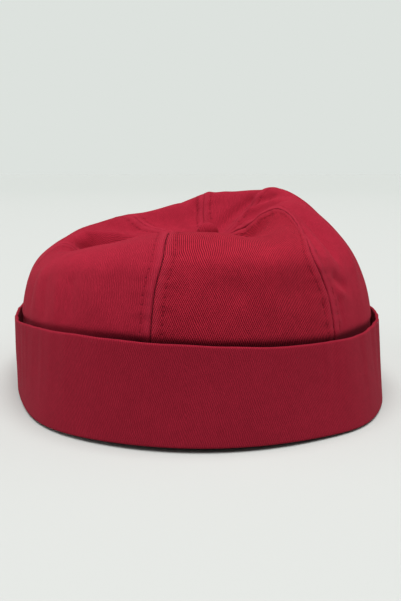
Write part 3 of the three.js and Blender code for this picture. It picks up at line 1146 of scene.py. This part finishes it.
    def stitches(self, grid: ClothGrid) -> list[Matrix]:
        """Places of the topstitches along both of the panel's seams.

        Args:
            grid: the panel's skin, in millimetres.

        Returns:
            For each stitch a matrix with its long axis along X and its outward one along Z.
        """
        found: list[Matrix] = []
        row, pitch = self.finish.stitch_row, self.finish.stitch_pitch
        seat = self.edge_steps.index(row)
        for column, step, edge in ((seat, 1, 0), (-1 - seat, -1, -1)):
            line, beside = grid.points[:, column], grid.points[:, column + step]
            run = grid.seam[:, edge, 1]
            wide = np.abs(grid.seam[:, column, 0] - row) < 0.15
            last = run[np.flatnonzero(wide)[-1]]
            for number in range(1, int(last / pitch)):
                start, end, aside = (
                    np.array([np.interp((number + at) * pitch, run, side[:, i]) for i in range(3)])
                    for at, side in zip(self.stitch_span, (line, line, beside))
                )
                found.append(self._stitch_place(start, end, aside, step))
        return found

    def _stitch_place(self, start: Array, end: Array, aside: Array, side: int) -> Matrix:
        """Matrix of one stitch between two points, with a point of the cloth beside it."""
        along = Vector(end - start)
        across = Vector(aside - (start + end) / 2) * side
        out = across.cross(along).normalized()
        across = along.normalized().cross(out) * -1
        middle = Vector((start + end) / 2) - out * self.stitch_sink
        turn = Matrix((along.normalized(), across, out)).transposed().to_4x4()
        size = Matrix.Diagonal((along.length, *self.stitch_section, 1.0))
        return Matrix.Translation(middle) @ turn @ size

    def build(self) -> list[Matrix]:
        """Make and dress the panel.

        Returns:
            The places of its topstitches.
        """
        grid = self.grid()
        piece = grid.build(f"twill_{self.name}")
        wall = piece.modifiers.new("wall", "SOLIDIFY")
        wall.thickness = self.wall * MM
        wall.offset = -1.0
        finish_piece(piece, self.finish, self.name)
        return self.stitches(grid)


@dataclass
class Topstitching:
    """All the crown's topstitches, joined in one mesh."""

    finish: ThreadFinish
    sides: int = 6
    rings: int = 5

    def build(self, places: Sequence[Matrix]) -> bpy.types.Object:
        """Make and dress the stitches.

        Args:
            places: a matrix for each stitch, in millimetres.

        Returns:
            The joined piece.
        """
        bm = bmesh.new()
        turn = Matrix.Rotation(math.pi / 2, 4, "Y")
        for place in places:
            bmesh.ops.create_uvsphere(
                bm, u_segments=self.sides, v_segments=self.rings, radius=0.5,
                matrix=Matrix.Scale(MM, 4) @ place @ turn,
            )
        bmesh.ops.recalc_face_normals(bm, faces=bm.faces)
        mesh = mesh_of(bm, "crown_topstitching")
        mesh.shade_smooth()
        piece = placed(mesh)
        finish_piece(piece, self.finish)
        return piece


@dataclass
class CrownButton:
    """The cloth-covered button, a low dome with gathered cloth round its foot."""

    form: CapForm
    finish: TwillFinish
    radius: float = 5.8
    height: float = 6.8
    foot: float = 0.9
    steps: int = 72
    gathers: int = 9

    def build(self) -> bpy.types.Object:
        """Make and dress the button.

        Returns:
            The button's piece.
        """
        radius, height = (values[:, None] for values in self._outline().T)
        angle = np.linspace(0, math.tau, self.steps + 1)[None]
        from_right = angle - math.pi / 2
        wave = np.cos(self.gathers * from_right)
        wave = wave + 0.5 * np.cos((self.gathers + 4) * from_right + 1.0)
        drawn = 1 - 0.02 * (1 - height / self.height) ** 2 * (1 + wave)
        z = self.form.button_z + self.form.seam_gap + height
        points = self.form.around(self.form.button_centre, radius * drawn, angle, z)
        points[:, -1] = points[:, 0]
        cloth = points[..., :2] - self.form.button_centre
        seam = np.zeros(cloth.shape) + (FAR_FROM_SEAM, 0.0)
        grid = ClothGrid(points, cloth, seam, 0 * points[..., 2], closed=True)
        piece = grid.build("twill_crown_button")
        finish_piece(piece, self.finish, "crown_button")
        return piece

    def _outline(self) -> Array:
        """Half section of the dome as (radius, height), from its underside to its top."""
        turn = np.linspace(0, math.pi / 2, 15)
        rise = self.foot + (self.height - self.foot) * np.sin(turn)
        low = [(0.0, 0.0), (5.0, 0.0), (self.radius * 0.93, 0.15), (self.radius * 0.985, 0.5)]
        return np.concatenate([low, np.stack([self.radius * np.cos(turn), rise], axis=1)])


# ---------------------------------------------------------------- cuff and sweatband


@dataclass(frozen=True)
class Ripple:
    """One wave round a standing band, which may lean as it climbs."""

    height: float
    order: int
    phase: float
    climb: float = 0.0


def rippled(ripples: Sequence[Ripple], angle: Array, share: Array) -> Array:
    """Sum of ripples at an angle and at a share of the band's height."""
    return sum(r.height * np.sin(r.order * angle + r.phase + r.climb * share) for r in ripples)


def band_skin(form: CapForm, radius: Array, angle: Array, z: Array, worn: Array) -> ClothGrid:
    """Skin of a band that runs round the cap and closes on itself both ways.

    Args:
        form: the cap's form.
        radius: distance from the plan's centre, shape (rows, columns).
        angle: direction in radians, shape (1, columns).
        z: height, shape (rows, columns).
        worn: the dye's wear and painted highlight, or below 0 painted shade.

    Returns:
        The skin, in millimetres.
    """
    points = form.around(form.plan_centre, radius, angle + 0 * z, z)
    points[:, -1] = points[:, 0]
    points[-1] = points[0]
    rise = lengths_along(points, 0)[:, [0]]
    cloth = np.stack([lengths_along(points, 1)[[0]] + 0 * z, rise + 0 * z], axis=2)
    seam = np.full(cloth.shape, FAR_FROM_SEAM)
    return ClothGrid(points, cloth, seam, worn + 0 * z, closed=True)


@dataclass
class TurnedCuff:
    """The turned-up cuff: an outer leg, a fold at the floor and a short inner leg."""

    form: CapForm
    finish: TwillFinish
    steps: int = 560
    step: float = 1.1
    cloth: float = 1.5
    edge_wear: float = 0.5
    crevice_shade: float = 0.9
    foot_shade: float = 0.85
    # Inset, share of the rim's height, height above that and rounding: up the outer leg,
    # over its top, down its inside, and up and round the inner leg.
    corners = (
        (0.0, 0, 0.0, 1.0),
        (0.0, 1, 0.0, 0.74),
        (1.5, 1, 0.0, 0.74),
        (1.5, 0, 2.2, 1.0),
        (3.6, 0, 2.2, 1.0),
        (3.6, 0, 12.0, 0.45),
        (4.8, 0, 12.0, 0.45),
        (4.8, 0, 0.0, 1.6),
    )
    slow = (Ripple(0.20, 7, 0.6), Ripple(0.16, 11, 2.1, 1.2))
    quick = (Ripple(0.17, 25, 0.4, 1.1), Ripple(0.13, 43, 1.1, -1.0), Ripple(0.10, 71, 2.6))
    fine = (Ripple(0.08, 97, 0.0, 0.7), Ripple(0.065, 127, 1.9))
    patches = (Ripple(0.5, 9, 0.8, 2.2),)
    edge = (Ripple(0.12, 13, 0.5), Ripple(0.07, 29, 2.0))

    def wobble(self, angle: Array, share: Array) -> Array:
        """Soft waves of the standing leg, as an inset in millimetres."""
        upright = smoothstep(share * 1.6)
        aside = 0.35 + 0.65 * np.sin(angle) ** 2
        # The standing leg leans in at two places to the right of the front.
        dips = 0.5 * bell(angle - 0.50 - 0.05 * share, 0.075) + 0.45 * bell(angle - 0.93, 0.028)
        slow, quick, fine, patch = (
            rippled(row, angle, share) for row in (self.slow, self.quick, self.fine, self.patches)
        )
        return upright * (slow + dips + aside * (quick + (0.5 + patch) * fine))

    def grid(self) -> ClothGrid:
        """The cuff's skin, all round."""
        outline = rounded_outline(self.corners, self.step)
        angle = np.linspace(0, math.tau, self.steps + 1)[None]
        inset, share, above = (outline[:, [i]] for i in range(3))
        low = self.form.cuff_bottom(angle)
        top = self.form.rim_z(angle) + rippled(self.edge, angle, 0.0)
        z = low * (1 - share) + top * share + above
        level = np.clip((z - low) / (top - low), 0, 1)
        outer = smoothstep(1 - (inset - self.cloth) / 2.0)
        shift = self.wobble(angle, level) * outer
        radius = self.form.cuff_radius(angle, z) - inset - shift
        # Wear and a painted highlight along the top edge, painted shade in the crevice behind it
        # and under the foot.
        worn = self.edge_wear * bell((top - z) / 0.4, 1.0) * (inset < self.cloth + 0.1)
        worn = worn - self.crevice_shade * smoothstep((inset - 1.2) / 0.6)
        under = smoothstep((inset - 0.25) / 0.6) * (z < low + 1.2)
        worn = np.minimum(worn, -self.foot_shade * under)
        return band_skin(self.form, radius, angle, z, worn)

    def build(self) -> bpy.types.Object:
        """Make and dress the cuff.

        Returns:
            The cuff's piece.
        """
        grid = self.grid()
        piece = grid.build("twill_cuff")
        finish_piece(piece, self.finish, "cuff")
        return piece


@dataclass
class Sweatband:
    """The dark tape inside the crown's lower edge."""

    form: CapForm
    finish: TapeFinish
    steps: int = 420
    step: float = 1.6
    height: float = 30.0
    wall: float = 1.4
    crown_wall: float = 1.6
    rounding: float = 0.5

    def build(self) -> bpy.types.Object:
        """Make and dress the sweatband.

        Returns:
            The sweatband's piece.
        """
        form = self.form
        outside = form.cuff_wall + form.stand_off + self.crown_wall + form.seam_gap
        section = ((outside, 0.0), (outside, self.height),
                   (outside + self.wall, self.height), (outside + self.wall, 0.0))
        corners = [(inset, 0, height, self.rounding) for inset, height in section]
        outline = rounded_outline(corners, self.step)
        angle = np.linspace(0, math.tau, self.steps + 1)[None]
        z = outline[:, [2]] + 0 * angle
        grid = band_skin(form, form.cuff_radius(angle, z) - outline[:, [0]], angle, z, 0 * z)
        piece = grid.build("tape_sweatband")
        finish_piece(piece, self.finish, "sweatband")
        return piece


# ---------------------------------------------------------------- the studio


@dataclass(frozen=True)
class SoftLight:
    """A wide, very soft light from one direction."""

    name: str
    lean_deg: float
    turn_deg: float
    spread_deg: float
    strength: float


@dataclass
class Studio:
    """A wide pale floor, soft light from above and the camera."""

    floor_finish: FloorFinish = FloorFinish()
    floor_radius: float = 14.0
    sky: Colour = (0.723, 0.761, 0.730)
    fill: float = 0.235
    lens: float = 45.764
    sensor: float = 36.0
    camera_tilt: float = 0.1713
    camera_place = (0.00321, -0.38886, 0.1073)
    lights = (
        SoftLight("light_above", 9.0, 0.0, 56.0, 4.1),
        SoftLight("light_left", 80.0, -88.0, 52.0, 1.15),
        SoftLight("light_right", 75.0, 100.0, 60.0, 0.78),
    )

    def build(self) -> None:
        """Make the floor, the lights, the world and the camera."""
        self._floor()
        for light in self.lights:
            self._light(light)
        self._world()
        self._camera()

    def _floor(self) -> None:
        """Round floor that reaches past the horizon's line."""
        bm = bmesh.new()
        bmesh.ops.create_circle(bm, cap_ends=True, segments=96, radius=self.floor_radius)
        floor = placed(mesh_of(bm, "studio_floor"))
        floor.data.materials.append(self.floor_finish.material())

    @staticmethod
    def _light(light: SoftLight) -> None:
        """Add one soft light."""
        data = bpy.data.lights.new(light.name, "SUN")
        data.angle = math.radians(light.spread_deg)
        data.energy = light.strength
        lamp = placed(data)
        lamp.rotation_euler = (math.radians(light.lean_deg), 0, math.radians(light.turn_deg))

    def _world(self) -> None:
        """Pale backdrop, dimmer as a light than it looks."""
        world = bpy.data.worlds.new("studio_world")
        world.use_nodes = True
        tree = world.node_tree
        shade = tree.nodes["Background"]
        shade.inputs["Color"].default_value = (*self.sky, 1)
        path = tree.nodes.new("ShaderNodeLightPath")
        level = tree.nodes.new("ShaderNodeMapRange")
        level.inputs["To Min"].default_value = self.fill
        level.inputs["To Max"].default_value = 1.0
        tree.links.new(path.outputs["Is Camera Ray"], level.inputs["Value"])
        tree.links.new(level.outputs["Result"], shade.inputs["Strength"])
        bpy.context.scene.world = world
        bpy.context.scene.view_settings.view_transform = "Standard"

    def _camera(self) -> None:
        """Camera in front of the cap, a little above it."""
        data = bpy.data.cameras.new("camera")
        data.lens = self.lens
        data.sensor_width = self.sensor
        camera = placed(data)
        camera.location = self.camera_place
        camera.rotation_euler = (math.pi / 2 - self.camera_tilt, 0, 0)
        bpy.context.scene.camera = camera


def main() -> None:
    """Build the cap and the studio in order."""
    logging.basicConfig(level=logging.INFO, format="%(name)s: %(message)s")
    form = CapForm()
    folds = FoldField(form, MAIN_FOLDS + FINE_FOLDS, ripple=0.9, seed=11)
    twill = TwillFinish()
    places: list[Matrix] = []
    for index in range(len(SEAMS)):
        places += CrownPanel(form, folds, index, twill if index == 0 else SIDE_TWILL).build()
    Topstitching(ThreadFinish()).build(places)
    CrownButton(form, SIDE_TWILL).build()
    TurnedCuff(form, CUFF_TWILL_SHADED).build()
    Sweatband(form, TapeFinish()).build()
    Studio().build()


if __name__ == "__main__":
    main()
